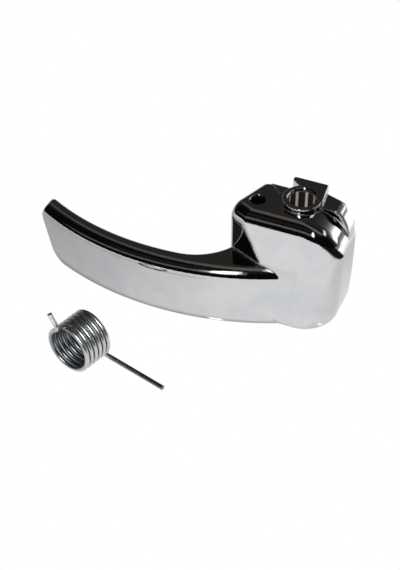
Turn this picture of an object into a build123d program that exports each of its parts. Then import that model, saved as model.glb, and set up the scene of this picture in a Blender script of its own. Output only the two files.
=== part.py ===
# Inside door handle of a car, one chromed die casting, and its wire return spring (mm, +Z up)

import os
from math import cos, degrees, hypot, radians, sin, tan

from build123d import *

# Pivot bore and the boss round it; the origin is on the bore axis, where its chamfer starts
bore_diameter = 10.0
bore_depth = 24.0
mouth_chamfer = 0.45
boss_diameter = 14.0
boss_root = 2.0
deck_drop = 1.9
handle_height = 45.0

# Hub in plan: left corner, back wall and the angles of its flat sides
hub_left = 23.9
hub_right = 18.9
hub_left_front = 10.35
hub_back = 5.6
hub_side_angle = 68.0
facet_angle = 25.0
hub_left_radius = 3.4
hub_front_turn = 5.0
hub_right_front = 7.5

# Hub walls: front reach at the top, then height above the foot, front reach and right inset
hub_top_front = 13.2
hub_levels = (
    (33.0, 15.2, 0.0),
    (23.0, 18.3, 0.0),
    (12.0, 19.8, 0.25),
    (0.0, 19.4, 1.1),
)

# Hub lid: flat deck, then a roll down to the right
lid_flat_end = 3.2
lid_side_edge = 0.3
lid_edge_radius = 6.0
hub_foot_radius = 3.0

# Finger blade: a bowed bar, thinner and lower towards the tip, its show face towards -Y
blade_bow_radius = 108.0
blade_bow_x = -45.0
blade_reach = 28.4
blade_thickness = 8.1
blade_back_shift = -1.2
blade_tip = 99.6
blade_tip_slant = 20.5
blade_tip_crown = 0.8
blade_tip_top_radius = 5.6
blade_tip_foot_radius = 8.5
blade_top_drop = 19.9
blade_top_slope = 1.6
front_edge_share = 0.58
back_edge_share = 0.27
blade_foot_edge_radius = 1.7
blade_root_radius = 20.5
blade_root_inset = 1.5

# Step pad left of the boss
step_height = 0.7
step_back_left = -13.5
step_front_left = -7.2

# Stop wing right of the boss: shoulder, hip and foot of its rounded end
wing_drop = 1.45
wing_front = 0.6
wing_shoulder = 14.2
wing_hip = 18.0
wing_hip_drop = 8.6
wing_foot = 18.8
wing_foot_drop = 17.0
wing_round = 3.5
wing_hip_round = 7.0

# Drive lug behind the bore, hooked on its left
lug_rise = 0.7
lug_depth = 13.0
lug_back = 10.2
lug_left = 6.5
lug_right = 6.4
lug_root_right = 7.5
lug_neck = 1.9
lug_hook = 1.8
lug_corner_radius = 0.7
gusset_back = 7.7
gusset_end = 13.0

# Blind hole in the left floor
hole_diameter = 5.2
hole_depth = 9.0
hole_x = -15.0
hole_y = -4.2

# Eased edges of the boss, pads and lug
ease_radius = 0.4

# Return spring, lying beside the handle with its long leg on the ground
wire_diameter = 1.7
spring_diameter = 18.4
spring_full_turns = 6
spring_pitch = 2.04
spring_x = -55.8
spring_y = -55.9
spring_axis_angle = 72.0
short_leg_turn = 154.0
short_leg = 5.0
long_leg = 31.5
leg_bend_radius = 1.5

foot = -handle_height
deck = -deck_drop
blade_bow_y = blade_bow_radius - blade_reach
blade_back_radius = blade_bow_radius - blade_thickness
blade_back_x = blade_bow_x + blade_back_shift
left_corner = Vector(-hub_left, -hub_left_front)
side_direction = Vector(cos(radians(hub_side_angle)), sin(radians(hub_side_angle)))
side_top = left_corner + side_direction * ((hub_back + hub_left_front) / side_direction.Y)
hub_stations = ((handle_height + deck_drop, hub_top_front, 0.0), *hub_levels)
lid_roll_radius = hub_right - lid_flat_end + lid_side_edge
beyond = 2 * blade_tip
touch = 0.01


def on_front(point):
    """True on the bowed show face of the blade."""
    return abs(hypot(point.X - blade_bow_x, point.Y - blade_bow_y) - blade_bow_radius) < touch


def on_side(point):
    """True on the flat left side of the hub."""
    return abs((Vector(point.X, point.Y) - left_corner).cross(side_direction).Z) < touch


def on_back(point):
    """True on the bowed back of the blade."""
    return abs(hypot(point.X - blade_back_x, point.Y - blade_bow_y) - blade_back_radius) < touch


# Blade: bowed bar in plan, faired into the hub, its top rounded, its tip trimmed last
with BuildPart() as blade:
    with BuildSketch(Plane.XY.offset(foot - blade_thickness)) as blade_plan:
        with Locations((blade_bow_x, blade_bow_y)):
            Circle(blade_bow_radius)
        with Locations((blade_back_x, blade_bow_y)):
            Circle(blade_back_radius, mode=Mode.SUBTRACT)
        root_corner = left_corner + Vector(side_direction.Y, -side_direction.X) * blade_root_inset
        root_low = root_corner - side_direction * blade_reach
        root_high = root_corner + side_direction * hub_back
        with BuildLine():
            Polyline(root_low, root_high, (0, root_high.Y), (0, root_low.Y), close=True)
        make_face()
        with Locations((blade_bow_x, blade_bow_y)):
            Circle(blade_bow_radius, mode=Mode.INTERSECT)
        Rectangle(
            blade_tip + blade_thickness,
            2 * blade_reach,
            align=(Align.MAX, Align.MAX),
            mode=Mode.INTERSECT,
        )
        fillet(blade_plan.vertices().filter_by(on_back).sort_by(Axis.X)[-1], blade_root_radius)
    extrude(amount=handle_height)
    top_fall = tan(radians(blade_top_slope))
    with BuildSketch(Plane.XZ):
        with BuildLine():
            Polyline(
                (beyond, beyond * top_fall - blade_top_drop),
                (-beyond, -beyond * top_fall - blade_top_drop),
                (-beyond, beyond),
                (beyond, beyond),
                close=True,
            )
        make_face()
    extrude(amount=beyond, both=True, mode=Mode.SUBTRACT)
    top_rim = blade.faces().sort_by(Axis.Z)[-1].edges().filter_by(Axis.Y, reverse=True)
    top_rim = top_rim.filter_by(lambda e: e.center().Y < root_high.Y - touch)
    top_back = top_rim.filter_by(lambda e: not on_front(e @ 0.5))
    fillet(top_back, blade_thickness * back_edge_share)
    top_front = blade.edges().filter_by(lambda e: on_front(e @ 0.5))
    fillet(top_front.sort_by(Axis.Z)[-1], blade_thickness * front_edge_share)
    crown = blade_tip_crown - blade_top_drop
    tip_foot_x = -blade_tip + (crown - blade_tip * top_fall - foot) * tan(radians(blade_tip_slant))
    with BuildSketch(Plane.XZ):
        with BuildLine():
            FilletPolyline(
                (0, crown),
                (-blade_tip, crown - blade_tip * top_fall),
                (tip_foot_x, foot),
                (0, foot),
                radius=[0, blade_tip_top_radius, blade_tip_foot_radius, 0],
                close=True,
            )
        make_face()
    extrude(amount=beyond, both=True, mode=Mode.INTERSECT)
    rims = blade.edges(Select.NEW).filter_by(Axis.Y, reverse=True)
    rims = rims.filter_by(lambda e: e.center().Y < root_high.Y - touch)
    fillet(rims, blade_foot_edge_radius)

# Hub: walls lofted down from the deck, trimmed by the flat sides, under a rolled lid
with BuildPart() as hub:
    for height, front, inset in hub_stations:
        with BuildSketch(Plane.XY.offset(foot + height)):
            with BuildLine():
                corner = (hub_right - inset, -hub_right_front)
                TangentArc((hub_front_turn, -front), corner, tangent=(1, 0))
                Polyline(
                    corner,
                    (hub_right - inset, hub_back),
                    (-2 * hub_left, hub_back),
                    (-2 * hub_left, -front),
                    (hub_front_turn, -front),
                )
            make_face()
    loft()
    with BuildSketch(Plane.XY.offset(foot)):
        facet_far = left_corner + Vector(1, -tan(radians(facet_angle))) * beyond
        with BuildLine():
            Polyline(
                left_corner,
                facet_far,
                (beyond, 2 * hub_back),
                side_top + side_direction * hub_back,
                close=True,
            )
        make_face()
    extrude(amount=beyond, mode=Mode.INTERSECT)
    with BuildSketch(Plane.XZ):
        roll_centre = (lid_flat_end, deck - lid_roll_radius)
        with BuildLine():
            CenterArc(roll_centre, lid_roll_radius, 0, 90)
            Polyline(
                (lid_flat_end, deck),
                (-beyond, deck),
                (-beyond, beyond),
                (beyond, beyond),
                (beyond, roll_centre[1]),
                (lid_flat_end + lid_roll_radius, roll_centre[1]),
            )
        make_face()
    extrude(amount=beyond, both=True, mode=Mode.SUBTRACT)
    rim = hub.edges().filter_by(lambda e: e.center().Y < hub_back - touch and not on_side(e @ 0.5))
    rim = rim.filter_by(lambda e: e.bounding_box().max.Z > foot + touch)
    lid_end = deck - lid_roll_radius
    rim = rim.filter_by(lambda e: e.bounding_box().min.Z > lid_end or e.center().X > hub_right / 2)
    fillet(rim, lid_edge_radius)
    side_rim = hub.edges().filter_by(lambda e: on_side(e @ 0.5) and e.center().Z > foot + touch)
    fillet(side_rim.filter_by(lambda e: e.center().Y < hub_back - touch), hub_left_radius)
    foot_rim = hub.edges().filter_by(lambda e: e.bounding_box().max.Z < foot + touch)
    foot_rim = foot_rim.filter_by(lambda e: e.center().Y < hub_back - touch)
    foot_rim = foot_rim.filter_by(lambda e: e.center().X > -hub_left / 2)
    fillet(foot_rim, hub_foot_radius)

# Boss round the bore, rooted in the hub
with BuildPart() as boss:
    with Locations((0, 0, deck - boss_root)):
        Cylinder(
            boss_diameter / 2,
            boss_root + deck_drop + mouth_chamfer,
            align=(Align.CENTER, Align.CENTER, Align.MIN),
        )
    fillet(boss.edges().sort_by(Axis.Z)[-1], ease_radius)

# Step pad between the boss and the back wall
with BuildPart() as step:
    with BuildSketch(Plane.XY.offset(deck)):
        with BuildLine():
            Polyline((step_back_left, hub_back), (step_front_left, 0), (0, 0), (0, hub_back), close=True)
        make_face()
    extrude(amount=step_height)
    fillet(step.faces().sort_by(Axis.Z)[-1].edges(), ease_radius)

# Stop wing, its front outline eased
with BuildPart() as wing:
    with BuildSketch(Plane.XZ.offset(-hub_back)):
        with BuildLine():
            FilletPolyline(
                (0, -wing_drop),
                (wing_shoulder, -wing_drop),
                (wing_hip, -wing_hip_drop),
                (wing_foot, -wing_foot_drop),
                (0, -wing_foot_drop),
                radius=[0, wing_round, wing_hip_round, 0, 0],
                close=True,
            )
        make_face()
    extrude(amount=hub_back + wing_front)
    wing_rim = wing.faces().sort_by(Axis.Y)[0].edges()
    wing_rim = wing_rim.filter_by(lambda e: e.center().X > touch)
    wing_rim = wing_rim.filter_by(lambda e: e.center().Z > touch - wing_foot_drop)
    fillet(wing_rim, ease_radius)

# Drive lug with its gusset
with BuildPart() as lug:
    with BuildSketch(Plane.XY.offset(-lug_depth)):
        with BuildLine():
            FilletPolyline(
                (0, 0),
                (lug_root_right, 0),
                (lug_right, lug_back),
                (-lug_left, lug_back),
                (-lug_left, lug_back - lug_hook),
                (-lug_neck, hub_back - lug_corner_radius),
                radius=[0, 0, lug_corner_radius, lug_corner_radius, lug_corner_radius, 0],
                close=True,
            )
        make_face()
    extrude(amount=lug_depth + lug_rise)
    fillet(lug.faces().sort_by(Axis.Z)[-1].edges(), ease_radius)
    with BuildSketch(Plane.XY.offset(-lug_depth)):
        with BuildLine():
            Polyline(
                (0, 0),
                (0, gusset_back),
                (lug_right, gusset_back),
                (gusset_end, hub_back),
                (gusset_end, 0),
                close=True,
            )
        make_face()
    extrude(amount=lug_depth - wing_drop)

# Casting: blade, hub and deck fittings in one, then the bore and the small hole
with BuildPart() as handle_casting:
    add(blade.part)
    add(hub.part)
    add(step.part)
    add(wing.part)
    add(lug.part)
    add(boss.part)
    with Locations((0, 0, -bore_depth)):
        Cylinder(
            bore_diameter / 2,
            bore_depth + 2 * lug_rise,
            align=(Align.CENTER, Align.CENTER, Align.MIN),
            mode=Mode.SUBTRACT,
        )
    with Locations((0, 0, 0)):
        Cone(
            bore_diameter / 2,
            bore_diameter / 2 + lug_rise,
            lug_rise,
            align=(Align.CENTER, Align.CENTER, Align.MIN),
            mode=Mode.SUBTRACT,
        )
    with Locations((hole_x, hole_y, deck - hole_depth)):
        Cylinder(
            hole_diameter / 2,
            hole_depth + deck_drop,
            align=(Align.CENTER, Align.CENTER, Align.MIN),
            mode=Mode.SUBTRACT,
        )
    with Locations((hole_x, hole_y, deck)):
        Cone(
            hole_diameter / 2,
            hole_diameter / 2 + mouth_chamfer,
            mouth_chamfer,
            align=(Align.CENTER, Align.CENTER, Align.MAX),
            mode=Mode.SUBTRACT,
        )

# Spring wire: long leg, close coils, a bend and the short leg, drawn coil axis up
coil_radius = (spring_diameter - wire_diameter) / 2
with BuildPart() as spring_wire:
    with BuildLine() as wire_path:
        bend_lead = degrees(leg_bend_radius / coil_radius)
        turns = spring_full_turns + (short_leg_turn - bend_lead) / 360
        coil = Helix(spring_pitch, spring_pitch * turns, coil_radius, lefthand=True)
        Line(coil @ 0 - (coil % 0) * long_leg, coil @ 0)
        coil_end = coil @ 1
        outward = Vector(coil_end.X, coil_end.Y).normalized()
        bend = TangentArc(coil_end, coil_end + (outward + coil % 1) * leg_bend_radius, tangent=coil % 1)
        Line(bend @ 1, bend @ 1 + outward * short_leg)
    with BuildSketch(Plane(origin=wire_path.line @ 0, z_dir=wire_path.line % 0)):
        Circle(wire_diameter / 2)
    sweep()

# Spring as it lies: coil axis level, coils and long leg on the ground
with BuildPart() as return_spring:
    axis_back = Vector(-cos(radians(spring_axis_angle)), -sin(radians(spring_axis_angle)))
    coil_centre = (spring_x, spring_y, foot + spring_diameter / 2)
    with Locations(Plane(coil_centre, x_dir=(0, 0, -1), z_dir=axis_back)):
        add(spring_wire.part)

handle_casting.part.label = "handle_casting"
return_spring.part.label = "return_spring"

os.makedirs("parts", exist_ok=True)
export_step(handle_casting.part, "parts/handle_casting.step")
export_step(return_spring.part, "parts/return_spring.step")
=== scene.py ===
# Chromed inside door handle and its return spring on a white studio floor
import math

import bpy
from mathutils import Matrix, Vector


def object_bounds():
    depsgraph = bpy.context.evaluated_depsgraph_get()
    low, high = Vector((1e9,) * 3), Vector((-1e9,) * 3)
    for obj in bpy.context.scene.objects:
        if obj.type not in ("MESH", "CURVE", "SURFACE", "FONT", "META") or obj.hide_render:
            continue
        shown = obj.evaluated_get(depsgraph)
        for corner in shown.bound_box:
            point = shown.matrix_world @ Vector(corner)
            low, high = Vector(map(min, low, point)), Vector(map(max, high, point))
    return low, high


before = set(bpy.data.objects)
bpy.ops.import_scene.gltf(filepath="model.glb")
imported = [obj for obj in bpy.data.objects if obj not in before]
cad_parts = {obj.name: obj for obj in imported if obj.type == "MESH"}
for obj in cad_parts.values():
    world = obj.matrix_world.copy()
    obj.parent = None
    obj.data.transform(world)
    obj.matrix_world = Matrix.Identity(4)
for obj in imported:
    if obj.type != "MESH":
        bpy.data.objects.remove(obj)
cad_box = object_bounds()
scene = bpy.context.scene
scene.view_settings.view_transform = "Standard"

# Results of a ramp at its two bounds
RISING = (0.0, 1.0)
FALLING = (1.0, 0.0)


class Nodes:
    """Adds shader nodes to one tree. A value is a socket, which is linked, or a plain value, which is set."""

    # a mix node's slots for the factor and the two values, and its result, for each kind of value
    MIX_PLACES = {"FLOAT": ((0, 2, 3), 0), "RGBA": ((0, 6, 7), 2)}
    EDGE_SAMPLES = 8

    def __init__(self, tree):
        self.tree = tree

    def add(self, kind):
        """A new shader node."""
        return self.tree.nodes.new("ShaderNode" + kind)

    def put(self, slot, value):
        """Links a socket to a slot, or sets a plain value on it."""
        if isinstance(value, bpy.types.NodeSocket):
            self.tree.links.new(value, slot)
        else:
            slot.default_value = value

    def fill(self, node, values):
        """Puts values into a node's slots by their names."""
        for name, value in values.items():
            self.put(node.inputs[name], value)

    def maths(self, operation, *values, kind="Math"):
        """Result of an operation on one or two numbers, or on vectors with the other kind of node."""
        node = self.add(kind)
        node.operation = operation
        for slot, value in zip(node.inputs, values):
            self.put(slot, value)
        return node.outputs[0]

    def product(self, first, *others):
        """Product of several numbers."""
        for other in others:
            first = self.maths("MULTIPLY", first, other)
        return first

    def dim(self, light, mask, share):
        """A light less a share of it where a mask is one."""
        return self.product(light, self.maths("SUBTRACT", 1.0, self.product(mask, share)))

    def ramp(self, value, bounds, results=RISING, shape="SMOOTHSTEP"):
        """Goes from the first result to the second while a value goes from the first bound to the second."""
        node = self.add("MapRange")
        node.interpolation_type = shape
        self.put(node.inputs["Value"], value)
        for name, number in zip(("From Min", "From Max", "To Min", "To Max"), (*bounds, *results)):
            self.put(node.inputs[name], number)
        return node.outputs[0]

    def band(self, value, bounds, soft):
        """One between two bounds and nought outside, with soft ends."""
        low, high = bounds
        rise = self.ramp(value, (low - soft, low + soft))
        fall = self.ramp(value, (high - soft, high + soft), FALLING)
        return self.product(rise, fall)

    def card(self, places, bounds, softs):
        """One inside a rectangle of two places and nought outside, with soft sides."""
        return self.product(*(self.band(*side) for side in zip(places, bounds, softs)))

    def corner(self, places, bounds):
        """Rises to one beyond the soft edges of two places."""
        return self.product(*(self.ramp(*edge) for edge in zip(places, bounds)))

    def mix(self, data_type, values):
        """Value between two others by a factor, which comes first."""
        node = self.add("Mix")
        node.data_type = data_type
        slots, result = self.MIX_PLACES[data_type]
        for slot, value in zip(slots, values):
            self.put(node.inputs[slot], value)
        return node.outputs[result]

    def blend(self, factor, first, second):
        """Number between two others by a factor."""
        return self.mix("FLOAT", (factor, first, second))

    def tint(self, factor, first, second):
        """Colour between two others by a factor."""
        return self.mix("RGBA", (factor, first, second))

    def add_share(self, total, mask, amount):
        """Adds a vector or colour, scaled by a mask, to a running one."""
        scaled = self.add("VectorMath")
        scaled.operation = "SCALE"
        self.put(scaled.inputs[0], amount)
        self.put(scaled.inputs["Scale"], mask)
        return self.maths("ADD", total, scaled.outputs[0], kind="VectorMath")

    def split(self, vector):
        """The three numbers of a vector."""
        node = self.add("SeparateXYZ")
        self.put(node.inputs[0], vector)
        return tuple(node.outputs)

    def length(self, first, second):
        """Length of a flat vector."""
        squares = [self.maths("POWER", side, 2.0) for side in (first, second)]
        return self.maths("SQRT", self.maths("ADD", *squares))

    def distance(self, places, centre):
        """Distance of a flat place from a centre."""
        return self.length(*(self.maths("SUBTRACT", *pair) for pair in zip(places, centre)))

    def along(self, places, centre, way):
        """Distance of a flat place from a centre, along a direction."""
        shares = [
            self.product(self.maths("SUBTRACT", place, middle), share)
            for place, middle, share in zip(places, centre, way)
        ]
        return self.maths("ADD", *shares)

    def noise(self, vector, settings):
        """Fractal noise over a vector."""
        node = self.add("TexNoise")
        self.fill(node, {"Vector": vector, **settings})
        return node.outputs["Fac"]

    def soft_normal(self, radius):
        """Normal that runs smoothly over edges within a radius."""
        node = self.add("Bevel")
        node.samples = self.EDGE_SAMPLES
        self.put(node.inputs["Radius"], radius)
        return node.outputs[0]

    def bump(self, height, settings):
        """Bump node over a height, with its normal slot left open."""
        node = self.add("Bump")
        self.fill(node, {"Height": height, **settings})
        return node


# Room that the chrome mirrors: heights and turns are in degrees, turn 0 is +Y and 90 is +X, and places on the
# flat ceiling, towards the back and the right, are shares of its height above the part
DEGREES = 180 / math.pi
FULL_TURN = 360.0
LEAST_RISE = 0.02
DARK = (0.0040, 0.0037, 0.0036)
WARM = (1.0, 0.86, 0.74)
BROWN = (1.0, 0.90, 0.82)
COOL = (0.96, 1.0, 1.0)
WHITE = (1.0, 1.0, 1.0)
FAR_CEILING = (0.0, 0.5)
FAR_CEILING_LIGHT = 0.024
BEAM = ((-0.36, -0.02), (-1.1, 0.9)), (0.09, 0.2)
BEAM_BEND = 0.5
BEAM_ROUND = 0.04
BEAM_DIM = (-0.8, 0.5), (0.35, 1.0)
BEAM_LIGHT = 0.19
DIM_STRIP = ((-0.75, -0.40), (-0.8, 0.9)), (0.10, 0.10)
DIM_STRIP_LIGHT = 0.012
PALE_STRIP = ((-1.75, -1.15), (-2.5, 0.15)), (0.20, 0.20)
PALE_STRIP_LIGHT = 0.14
WALL_TURNS = (14.0, 64.0), 6.0
WALL_FOOT = (1.0, 5.0)
WALL_FADE = (16.5, 60.0)
WALL_FADE_RATE = -9.5
WALL_LIGHT = 1.6
LAMP_MIDDLE = (47.0, 177.0)
LAMP_REACH = (21.0, 9.5)
LAMP_POWER = 2.0
LAMP_LIGHT = 8.0
HALO = ((37.0, 46.0), (168.5, 189.0)), (4.0, 3.0)
HALO_DIM = (181.0, 189.5), (0.55, 0.12)
HALO_LIGHT = 1.0
SIDE_LAMP = ((39.0, 45.0), (52.0, 90.0)), (3.0, 3.0)
SIDE_LAMP_LIGHT = 1.3


def studio_room():
    """Dark room with a warm beam, strips of ceiling, a white wall and lamps."""
    world = bpy.data.worlds.new("studio_room")
    scene.world = world
    world.use_nodes = True
    world.node_tree.nodes.clear()
    nodes = Nodes(world.node_tree)
    right, back, top = nodes.split(nodes.add("TexCoord").outputs["Generated"])
    height = nodes.product(nodes.maths("ARCSINE", top), DEGREES)
    turn = nodes.product(nodes.maths("ARCTAN2", right, back), DEGREES)
    full_turn = nodes.maths("FLOORED_MODULO", turn, FULL_TURN)
    rise = nodes.maths("MAXIMUM", top, LEAST_RISE)
    across = nodes.maths("DIVIDE", right, rise)
    ahead = nodes.maths("DIVIDE", back, rise)

    # warm beam overhead, bent back towards the left and dimmer there
    rounded = nodes.maths("SQRT", nodes.maths("ADD", nodes.maths("POWER", across, 2.0), BEAM_ROUND))
    bend = nodes.product(nodes.maths("SUBTRACT", rounded, across), BEAM_BEND)
    bent = nodes.maths("SUBTRACT", ahead, bend)
    beam = nodes.product(nodes.card((bent, across), *BEAM), nodes.ramp(across, *BEAM_DIM))

    # white wall at the right, behind, fading upwards
    fade = nodes.product(nodes.ramp(height, WALL_FADE, shape="LINEAR"), WALL_FADE_RATE)
    wall = nodes.product(nodes.band(turn, *WALL_TURNS), nodes.ramp(height, WALL_FOOT))
    wall = nodes.product(wall, nodes.maths("EXPONENT", fade))

    # oval lamp left of the camera, brightest in its middle, and its halo, dimmer towards the left
    lamp_sides = [
        nodes.maths("DIVIDE", nodes.maths("SUBTRACT", place, middle), reach)
        for place, middle, reach in zip((height, full_turn), LAMP_MIDDLE, LAMP_REACH)
    ]
    lamp = nodes.maths("MAXIMUM", nodes.maths("SUBTRACT", 1.0, nodes.length(*lamp_sides)), 0.0)
    lamp = nodes.maths("POWER", lamp, LAMP_POWER)
    halo = nodes.product(nodes.card((height, full_turn), *HALO), nodes.ramp(full_turn, *HALO_DIM))

    room = DARK
    for mask, colour, strength in (
        (nodes.ramp(ahead, FAR_CEILING), BROWN, FAR_CEILING_LIGHT),
        (beam, WARM, BEAM_LIGHT),
        (nodes.card((ahead, across), *DIM_STRIP), BROWN, DIM_STRIP_LIGHT),
        (nodes.card((ahead, across), *PALE_STRIP), COOL, PALE_STRIP_LIGHT),
        (wall, WHITE, WALL_LIGHT),
        (lamp, COOL, LAMP_LIGHT),
        (halo, COOL, HALO_LIGHT),
        (nodes.card((height, turn), *SIDE_LAMP), COOL, SIDE_LAMP_LIGHT),
    ):
        room = nodes.add_share(room, mask, [channel * strength for channel in colour])
    background = nodes.add("Background")
    nodes.put(background.inputs["Color"], room)
    nodes.put(nodes.add("OutputWorld").inputs["Surface"], background.outputs[0])


# White paper floor, in metres; the disc that the metal mirrors lies just under the one that the camera sees
FLOOR_GAP = 0.00005
FLOOR_SIDES = 96
FLOOR_RADIUS = 6.0
MIRRORED_DROP = 0.0001
floor_z = cad_box[0][2] - FLOOR_GAP


def floor_disc(name, drop):
    """A wide disc of glowing paper: its object, nodes, places across and ahead, and strength slot."""
    bpy.ops.mesh.primitive_circle_add(
        vertices=FLOOR_SIDES, radius=FLOOR_RADIUS, fill_type="NGON", location=(0, 0, floor_z - drop)
    )
    disc = bpy.context.object
    disc.name = name
    material = bpy.data.materials.new(name)
    material.use_nodes = True
    material.node_tree.nodes.clear()
    disc.data.materials.append(material)
    nodes = Nodes(material.node_tree)
    shader = nodes.add("Emission")
    nodes.put(nodes.add("OutputMaterial").inputs["Surface"], shader.outputs[0])
    x, y, _ = nodes.split(nodes.add("NewGeometry").outputs["Position"])
    return disc, nodes, x, y, shader.inputs["Strength"]


SHADOW_CENTRE = (-0.0605, -0.0545)
SHADOW_REACH = (0.0040, 0.0085)
SHADOW_LIGHT = (0.12, 1.0)


def white_paper():
    """The paper as the camera sees it, with a soft shadow under the spring's coil."""
    disc, nodes, x, y, strength = floor_disc("studio_floor", 0.0)
    disc.visible_glossy = False
    from_shadow = nodes.distance((x, y), SHADOW_CENTRE)
    nodes.put(strength, nodes.ramp(from_shadow, SHADOW_REACH, SHADOW_LIGHT))


LEFT_FADE = (-0.130, 0.010), (0.53, 0.955)
HUB_SIDE = (0.012, 0.024), (-0.034, 0.004)
HUB_SIDE_LIGHT = 0.77
FRONT = (-0.190, -0.140)
FRONT_LIGHT = 0.97
LIT_CORNER = (0.012, 0.026), (0.010, 0.030)
LIT_NEAR = (0.045, 0.115), (0.72, 1.5)
LIT_FAR = (0.240, 0.300), (1.0, 0.20)
RIGHT_DARK_CORNER = (0.060, 0.007)
RIGHT_DARK_WAY = (0.898, 0.441)
RIGHT_DARK_EDGE = (-0.004, 0.004)
RIGHT_DARK_BACK = (0.024, 0.034)
RIGHT_DARK_LIGHT = 0.01
HUB_FOOT_SIDES = (0.001, 0.016), 0.003
HUB_FOOT_FRONT = (-0.0215, -0.0185)
HUB_FOOT_SHADE = 0.18
BOW_CENTRE = (-0.045, 0.0796)
BLADE_FOOT = ((0.1060, 0.1100), (-0.098, 0.001)), (0.0014, 0.004)
BLADE_FOOT_SHADE = 0.40
BLADE_BACK = ((0.0875, 0.1040), (-0.096, -0.020)), (0.003, 0.006)
BLADE_BACK_LIGHT = 0.02
BLADE_GLINT = ((0.1080, 0.1098), (-0.0243, -0.0195)), (0.0005, 0.0010)
HUB_GLINT = ((0.0163, 0.0176), (-0.0168, -0.0148)), (0.0005, 0.0007)
GLINT_LIGHT = 1.8


def mirrored_paper():
    """The paper as the metal mirrors it, shaded round the part."""
    disc, nodes, x, y, strength = floor_disc("studio_floor_shade", MIRRORED_DROP)
    disc.visible_camera = False
    light = nodes.ramp(x, *LEFT_FADE)
    light = nodes.blend(nodes.corner((x, y), HUB_SIDE), light, HUB_SIDE_LIGHT)
    light = nodes.blend(nodes.ramp(y, FRONT, FALLING), light, FRONT_LIGHT)

    # lit paper at the right, behind, up to its far edge
    away = nodes.length(x, y)
    lit = nodes.product(nodes.ramp(away, *LIT_NEAR), nodes.ramp(away, *LIT_FAR))
    light = nodes.blend(nodes.corner((x, y), LIT_CORNER), light, lit)

    # much darker beyond a slanted line at the right, short of the back
    beyond = nodes.along((x, y), RIGHT_DARK_CORNER, RIGHT_DARK_WAY)
    right_dark = nodes.product(nodes.ramp(beyond, RIGHT_DARK_EDGE), nodes.ramp(y, RIGHT_DARK_BACK, FALLING))
    light = nodes.blend(right_dark, light, RIGHT_DARK_LIGHT)

    # shade along the foot of the hub and of the bowed blade, and along the blade's back
    hub_foot = nodes.product(nodes.ramp(y, HUB_FOOT_FRONT), nodes.band(x, *HUB_FOOT_SIDES))
    light = nodes.dim(light, hub_foot, HUB_FOOT_SHADE)
    bow = nodes.distance((x, y), BOW_CENTRE)
    light = nodes.dim(light, nodes.card((bow, x), *BLADE_FOOT), BLADE_FOOT_SHADE)
    light = nodes.blend(nodes.card((bow, x), *BLADE_BACK), light, BLADE_BACK_LIGHT)

    # small bright places that show as glints at the foot of the blade and of the hub
    for places, glint in (((bow, x), BLADE_GLINT), ((x, y), HUB_GLINT)):
        light = nodes.blend(nodes.card(places, *glint), light, GLINT_LIGHT)
    nodes.put(strength, light)


def metal(name):
    """A metal material: its nodes, its shader and the coordinates on its piece."""
    material = bpy.data.materials.new(name)
    material.use_nodes = True
    nodes = Nodes(material.node_tree)
    shader = material.node_tree.nodes["Principled BSDF"]
    nodes.put(shader.inputs["Metallic"], 1.0)
    return material, nodes, shader, nodes.add("TexCoord").outputs["Object"]


# Chrome plate, in metres from the mouth of the pivot bore
CLOUDS = {"Scale": 70.0, "Detail": 5.0, "Roughness": 0.6}
CLOUD_TINTS = (0.3, 0.7)
PLATE_DULL = (0.600, 0.615, 0.635, 1.0)
PLATE_BRIGHT = (0.690, 0.695, 0.700, 1.0)
PLATE_ROUGHNESS = (0.35, 0.75), (0.018, 0.045)
HOLE_CENTRE = (-0.0150, -0.0042)
HOLE_WALL = (0.00245, 0.00265)
# painted shade that darkens the small hole
HOLE_PAINTED_SHADE = (0.10, 0.10, 0.10, 1.0)
BORE_WALL = (0.00505, 0.00530)
BORE_MOUTH = (-0.0012, -0.0004)
BORE_BARS = 9.0
BAR_EDGES = (0.35, 0.95)
# colours of the bare bore wall: painted shade, and pale bars of painted highlight
BORE_PAINTED_SHADE = (0.035, 0.030, 0.026, 1.0)
BORE_PAINTED_HIGHLIGHT = (1.0, 0.91, 0.80, 1.0)
BORE_ROUGHNESS = 0.40
BORE_METALLIC = 0.15
WING = (0.011, 0.013), (-0.016, -0.012)
SEAM = ((-0.030, -0.005), (-0.030, -0.005)), (0.002, 0.002)
SEAM_FRONT = (-0.0205, -0.0190)
EDGE_RADIUS = 0.0008
SOFT_EDGE_RADIUS = 0.0020
RIM_SIDES = (0.0040, 0.0105), 0.0025
RIM_FOOT = (-0.0074, -0.0060)
RIM_BACK = (-0.0112, -0.0102)
RIM_LEAN = (-0.17, 0.0, 0.0)
RIPPLES = {"Scale": 160.0, "Detail": 2.0, "Roughness": 0.5}
PLATE_BUMP = {"Strength": 0.03, "Distance": 0.0006}


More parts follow.
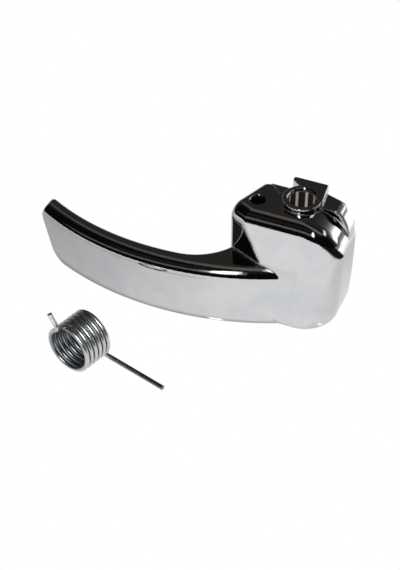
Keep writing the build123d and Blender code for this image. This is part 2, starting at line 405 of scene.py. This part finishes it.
def chrome_plate():
    """Faintly clouded plate; the pivot bore is bare, with painted shade and pale bars of painted highlight,
    and the small hole is darkened by painted shade.
    """
    material, nodes, shader, coords = metal("chrome_plate")
    x, y, z = nodes.split(coords)
    clouds = nodes.noise(coords, CLOUDS)
    plate = nodes.tint(nodes.ramp(clouds, CLOUD_TINTS), PLATE_DULL, PLATE_BRIGHT)
    # painted shade darkens the small hole
    hole = nodes.ramp(nodes.distance((x, y), HOLE_CENTRE), HOLE_WALL, FALLING)
    plate = nodes.tint(hole, plate, HOLE_PAINTED_SHADE)
    bare = nodes.ramp(nodes.length(x, y), BORE_WALL, FALLING)
    bare = nodes.product(bare, nodes.ramp(z, BORE_MOUTH, FALLING))
    # the bore is bare metal; its dark colour is painted shade and its pale bars are painted highlights
    bars = nodes.maths("SINE", nodes.product(nodes.maths("ARCTAN2", y, x), BORE_BARS))
    bore = nodes.tint(nodes.ramp(bars, BAR_EDGES), BORE_PAINTED_SHADE, BORE_PAINTED_HIGHLIGHT)

    # edges are soft, most of all at the wing and in the blade's root
    wing = nodes.corner((x, z), WING)
    seam = nodes.product(nodes.card((x, z), *SEAM), nodes.ramp(y, SEAM_FRONT))
    radius = nodes.blend(nodes.maths("MAXIMUM", wing, seam), EDGE_RADIUS, SOFT_EDGE_RADIUS)

    # the shading leans at the right end of the hub's rim, which turns later in the photograph
    rim = nodes.product(nodes.band(x, *RIM_SIDES), nodes.ramp(z, RIM_FOOT), nodes.ramp(y, RIM_BACK, FALLING))
    normal = nodes.add_share(nodes.soft_normal(radius), rim, RIM_LEAN)
    bump = nodes.bump(nodes.noise(coords, RIPPLES), PLATE_BUMP)
    nodes.put(bump.inputs["Normal"], nodes.maths("NORMALIZE", normal, kind="VectorMath"))

    nodes.fill(shader, {
        "Base Color": nodes.tint(bare, plate, bore),
        "Roughness": nodes.blend(bare, nodes.ramp(clouds, *PLATE_ROUGHNESS), BORE_ROUGHNESS),
        "Metallic": nodes.blend(bare, 1.0, BORE_METALLIC),
        "Normal": bump.outputs["Normal"],
    })
    return material


# Spring wire, in metres along the coil's axis, from it and above it
COIL_CENTRE = Vector((-0.0558, -0.0559, -0.0358))
COIL_TURN = math.radians(72.0)
COIL_WAY = (math.cos(COIL_TURN), math.sin(COIL_TURN))
COIL_SIDE = (-math.sin(COIL_TURN), math.cos(COIL_TURN))
GRAIN = {"Scale": 500.0, "Detail": 3.0, "Roughness": 0.5}
GRAIN_TINTS = (0.3, 0.7)
WIRE_DULL = (0.62, 0.63, 0.63, 1.0)
WIRE_BRIGHT = (0.76, 0.76, 0.75, 1.0)
WIRE_ROUGHNESS = (0.27, 0.34)
WIRE_BUMP = {"Strength": 0.03, "Distance": 0.0001}
# painted shade inside the coil and between its turns
FRONT_TURN = (-0.0124, -0.0118)
FRONT_INSIDE = (0.0076, 0.0086), (0.65, 0.0)
INSIDE = (0.0084, 0.0092), (0.85, 0.0)
COIL_PAINTED_SHADE = (0.11, 0.13, 0.145, 1.0)
LEG_START = (0.0096, 0.0120)
LONG_LEG_TOP = (-0.004, 0.0)
# painted shade on the long leg
LONG_LEG_PAINTED_SHADE = (0.24, 0.25, 0.26, 1.0)
# painted light on the short leg, so that it shows pale
SHORT_LEG_PAINTED_LIGHT = (0.96, 0.96, 0.95, 1.0)
SHORT_LEG_ROUGHNESS = 0.70
CUT_END = (0.0145, 0.0148)
CUT_COLOUR = (0.10, 0.10, 0.10, 1.0)


def spring_steel():
    """Bare wire, with painted shade in and between the coil's turns and on the long leg, painted light on the
    short leg, and darker at the short leg's cut end.
    """
    material, nodes, shader, coords = metal("spring_steel")
    x, y, z = nodes.split(coords)
    along_coil = nodes.along((x, y), COIL_CENTRE, COIL_WAY)
    beside_coil = nodes.along((x, y), COIL_CENTRE, COIL_SIDE)
    over_coil = nodes.maths("SUBTRACT", z, COIL_CENTRE.z)
    from_axis = nodes.length(beside_coil, over_coil)
    behind_front = nodes.ramp(along_coil, FRONT_TURN)
    # painted shade in and between the coil's turns
    inside = nodes.blend(behind_front, nodes.ramp(from_axis, *FRONT_INSIDE), nodes.ramp(from_axis, *INSIDE))
    leg = nodes.ramp(from_axis, LEG_START)
    low = nodes.ramp(over_coil, LONG_LEG_TOP, FALLING)
    short_leg = nodes.dim(leg, low, 1.0)

    grain = nodes.noise(coords, GRAIN)
    wire = nodes.tint(nodes.ramp(grain, GRAIN_TINTS), WIRE_DULL, WIRE_BRIGHT)
    wire = nodes.tint(inside, wire, COIL_PAINTED_SHADE)
    # painted shade darkens the long leg
    wire = nodes.tint(nodes.product(leg, low), wire, LONG_LEG_PAINTED_SHADE)
    # painted light on the short leg, darker at its cut end
    short_leg_light_and_cut = nodes.tint(nodes.ramp(from_axis, CUT_END), SHORT_LEG_PAINTED_LIGHT, CUT_COLOUR)
    roughness = nodes.ramp(grain, GRAIN_TINTS, WIRE_ROUGHNESS)
    nodes.fill(shader, {
        "Base Color": nodes.tint(short_leg, wire, short_leg_light_and_cut),
        "Roughness": nodes.blend(short_leg, roughness, SHORT_LEG_ROUGHNESS),
        "Normal": nodes.bump(grain, WIRE_BUMP).outputs["Normal"],
    })
    return material


# Lamps that light one node each, in metres and watts
AREA_LAMP_DISTANCE = 0.5
AREA_LAMP_ENERGY = 1.4
SPRING_LAMP_WAY = Vector((0.042, -0.730, 0.682))
SPRING_LAMP_SIZE = 0.24
SPRING_LAMP_COLOUR = (0.86, 0.94, 1.0)
BORE_CENTRE = Vector((0.0, 0.0, 0.0))
BORE_LAMP_WAY = Vector((0.10, -0.60, 0.79))
BORE_LAMP_SIZE = 0.10
BORE_LAMP_COLOUR = (1.0, 0.96, 0.92)


def add_lamp(name, node, centre, way, size, colour):
    """Round lamp that faces a place in one node and lights that node alone."""
    data = bpy.data.lights.new(name, "AREA")
    data.shape = "DISK"
    data.size = size
    data.energy = AREA_LAMP_ENERGY
    data.color = colour
    lamp = bpy.data.objects.new(name, data)
    scene.collection.objects.link(lamp)
    lamp.location = centre + way * AREA_LAMP_DISTANCE
    lamp.rotation_euler = way.to_track_quat("Z", "Y").to_euler()
    lit_nodes = bpy.data.collections.new(name + "_lights")
    lit_nodes.objects.link(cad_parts[node])
    lamp.light_linking.receiver_collection = lit_nodes
    return lamp


# Camera at the photograph's angle, its focal length given in the photograph's pixels
PHOTO_HEIGHT = 570
FOCAL_PIXELS = 1427.5
SENSOR = 36.0
NEAR_CLIP = 0.01
CAMERA_PLACE = Vector((0.12012, -0.3747, 0.31205))
CAMERA_LOOK = Vector((-0.2903, 0.6840, -0.6691))
CAMERA_RIGHT = Vector((0.9205, 0.3907, 0.0))


def add_camera():
    """Level camera that looks down at the part from the front right."""
    data = bpy.data.cameras.new("camera")
    data.sensor_width = SENSOR
    data.lens = FOCAL_PIXELS / PHOTO_HEIGHT * SENSOR
    data.clip_start = NEAR_CLIP
    camera = bpy.data.objects.new("camera", data)
    scene.collection.objects.link(camera)
    look = CAMERA_LOOK.normalized()
    right = CAMERA_RIGHT.normalized()
    pose = Matrix((right, right.cross(look), -look)).transposed().to_4x4()
    pose.translation = CAMERA_PLACE
    camera.matrix_world = pose
    scene.camera = camera


studio_room()
white_paper()
mirrored_paper()
for node, material in (("handle_casting", chrome_plate()), ("return_spring", spring_steel())):
    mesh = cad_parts[node].data
    mesh.materials.clear()
    mesh.materials.append(material)

# the bore's lamp isn't mirrored, so it shows on the bare bore wall alone
add_lamp(
    "spring_lamp", "return_spring", COIL_CENTRE, SPRING_LAMP_WAY, SPRING_LAMP_SIZE, SPRING_LAMP_COLOUR
)
bore_lamp = add_lamp(
    "bore_lamp", "handle_casting", BORE_CENTRE, BORE_LAMP_WAY, BORE_LAMP_SIZE, BORE_LAMP_COLOUR
)
bore_lamp.visible_glossy = False
add_camera()
